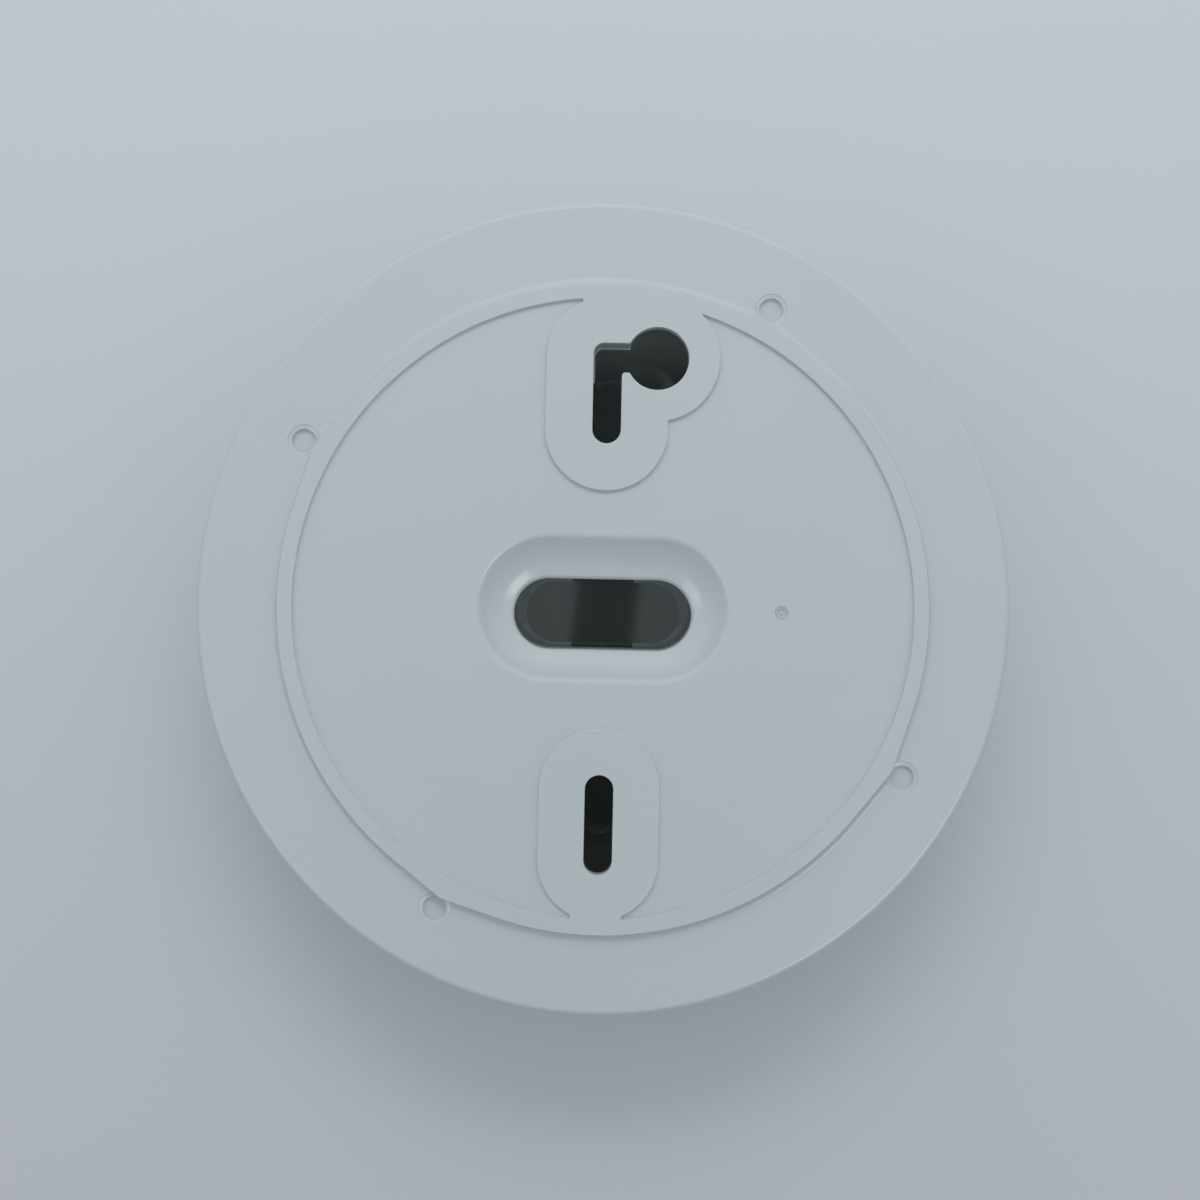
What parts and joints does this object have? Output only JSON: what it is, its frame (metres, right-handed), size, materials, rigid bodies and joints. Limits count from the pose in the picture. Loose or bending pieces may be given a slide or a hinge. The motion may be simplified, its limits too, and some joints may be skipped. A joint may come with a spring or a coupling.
{
  "type": "detector base sounder",
  "caption": "Round white detector base sounder lying front down, its moulded rear face up, with keyhole and straight fixing slots, a raised ring and a dished cable entry.",
  "frame": {"origin": "centre of the front rim's plane, on which the unit lies as pictured", "axes": "+Z is the rear face, the side that meets the ceiling or wall; +Y runs from the straight slot to the keyhole"},
  "size_m": [0.115, 0.115, 0.028],
  "materials": {
    "housing_plastic": "satin",
    "screw_steel": "satin",
    "contact_plate": "satin",
    "clamp_steel": "satin",
    "board_laminate": "satin",
    "black_plastic": "matte",
    "sounder_brass": "satin",
    "sounder_ceramic": "matte",
    "capacitor_can": "satin",
    "ferrite": "matte",
    "switch_body": "satin",
    "switch_lever": "satin",
    "trimmer_body": "satin",
    "trimmer_rotor": "satin"
  },
  "bodies": {
    "housing": {"rear_casing": "housing_plastic", "front_casing": "housing_plastic", "casing_screw_1": "screw_steel", "casing_screw_2": "screw_steel", "casing_screw_3": "screw_steel", "casing_screw_4": "screw_steel", "circuit_board": "board_laminate", "board_screw_1": "screw_steel", "board_screw_2": "screw_steel", "board_screw_3": "screw_steel", "board_screw_4": "screw_steel", "sounder_chamber": "black_plastic", "piezo_disc": "sounder_brass", "piezo_ceramic": "sounder_ceramic", "sounder_lid": "black_plastic", "capacitor_large": "capacitor_can", "capacitor_small": "capacitor_can", "inductor": "ferrite", "control_chip": "black_plastic", "driver_chip": "black_plastic", "contact_blade_1": "contact_plate", "contact_blade_2": "contact_plate", "contact_blade_3": "contact_plate", "contact_blade_4": "contact_plate", "switch_bank": "switch_body", "volume_trimmer": "trimmer_body"},
    "clamp_1": {"wire_clamp_1": "clamp_steel"},
    "terminal_screw_1": {"terminal_screw_1": "screw_steel"},
    "clamp_2": {"wire_clamp_2": "clamp_steel"},
    "terminal_screw_2": {"terminal_screw_2": "screw_steel"},
    "clamp_3": {"wire_clamp_3": "clamp_steel"},
    "terminal_screw_3": {"terminal_screw_3": "screw_steel"},
    "clamp_4": {"wire_clamp_4": "clamp_steel"},
    "terminal_screw_4": {"terminal_screw_4": "screw_steel"},
    "lever_1": {"switch_lever_1": "switch_lever"},
    "lever_2": {"switch_lever_2": "switch_lever"},
    "lever_3": {"switch_lever_3": "switch_lever"},
    "lever_4": {"switch_lever_4": "switch_lever"},
    "lever_5": {"switch_lever_5": "switch_lever"},
    "lever_6": {"switch_lever_6": "switch_lever"},
    "rotor": {"trimmer_rotor": "trimmer_rotor"}
  },
  "joints": [
    {"name": "clamp_1_slide", "type": "slide", "parent": "housing", "child": "clamp_1", "axis": [0, 0, 1], "range_m": [0, 0.0009]},
    {"name": "terminal_screw_1_turn", "type": "hinge", "parent": "clamp_1", "child": "terminal_screw_1", "pos_m": [0.02717, 0.02134, 0.0024], "axis": [0, 0, 1], "range_deg": [0, 540]},
    {"name": "clamp_2_slide", "type": "slide", "parent": "housing", "child": "clamp_2", "axis": [0, 0, 1], "range_m": [0, 0.0009]},
    {"name": "terminal_screw_2_turn", "type": "hinge", "parent": "clamp_2", "child": "terminal_screw_2", "pos_m": [-0.02935, 0.01823, 0.0024], "axis": [0, 0, 1], "range_deg": [0, 540]},
    {"name": "clamp_3_slide", "type": "slide", "parent": "housing", "child": "clamp_3", "axis": [0, 0, 1], "range_m": [0, 0.0009]},
    {"name": "terminal_screw_3_turn", "type": "hinge", "parent": "clamp_3", "child": "terminal_screw_3", "pos_m": [-0.02717, -0.02134, 0.0024], "axis": [0, 0, 1], "range_deg": [0, 540]},
    {"name": "clamp_4_slide", "type": "slide", "parent": "housing", "child": "clamp_4", "axis": [0, 0, 1], "range_m": [0, 0.0009]},
    {"name": "terminal_screw_4_turn", "type": "hinge", "parent": "clamp_4", "child": "terminal_screw_4", "pos_m": [0.02935, -0.01823, 0.0024], "axis": [0, 0, 1], "range_deg": [0, 540]},
    {"name": "lever_1_slide", "type": "slide", "parent": "housing", "child": "lever_1", "axis": [1, 0, 0], "range_m": [0, 0.0016]},
    {"name": "lever_2_slide", "type": "slide", "parent": "housing", "child": "lever_2", "axis": [1, 0, 0], "range_m": [0, 0.0016]},
    {"name": "lever_3_slide", "type": "slide", "parent": "housing", "child": "lever_3", "axis": [1, 0, 0], "range_m": [0, 0.0016]},
    {"name": "lever_4_slide", "type": "slide", "parent": "housing", "child": "lever_4", "axis": [1, 0, 0], "range_m": [0, 0.0016]},
    {"name": "lever_5_slide", "type": "slide", "parent": "housing", "child": "lever_5", "axis": [1, 0, 0], "range_m": [0, 0.0016]},
    {"name": "lever_6_slide", "type": "slide", "parent": "housing", "child": "lever_6", "axis": [1, 0, 0], "range_m": [0, 0.0016]},
    {"name": "volume_turn", "type": "hinge", "parent": "housing", "child": "rotor", "pos_m": [-0.017, -0.031, 0.0094], "axis": [0, 0, -1], "range_deg": [-135, 135]}
  ],
  "couplings": [
    {"joint": "terminal_screw_1_turn", "follows": "clamp_1_slide", "rad_per_m": 10472},
    {"joint": "terminal_screw_2_turn", "follows": "clamp_2_slide", "rad_per_m": 10472},
    {"joint": "terminal_screw_3_turn", "follows": "clamp_3_slide", "rad_per_m": 10472},
    {"joint": "terminal_screw_4_turn", "follows": "clamp_4_slide", "rad_per_m": 10472}
  ]
}
